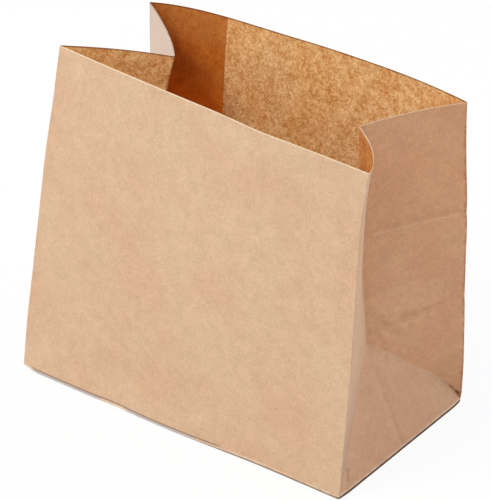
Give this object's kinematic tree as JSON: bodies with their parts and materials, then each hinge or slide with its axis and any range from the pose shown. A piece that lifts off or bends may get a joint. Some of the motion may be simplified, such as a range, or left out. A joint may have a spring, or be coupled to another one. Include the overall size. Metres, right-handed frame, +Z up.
{
  "type": "paper lunch bag",
  "caption": "Open brown paper lunch bag with folded side gussets and a flat glued bottom, standing upright with its mouth open at the top.",
  "frame": {"origin": "middle of the base, on the underside of the lowest bottom flap", "axes": "+Z up to the open mouth, -Y towards the wide front panel, +X along the width of the bag"},
  "size_m": [0.2645, 0.15, 0.2253],
  "materials": {
    "brown_paper": "matte machine-finished brown paper, smooth outside and cloudy inside"
  },
  "bodies": {
    "root": {"paper_bag": "brown_paper"}
  },
  "joints": []
}
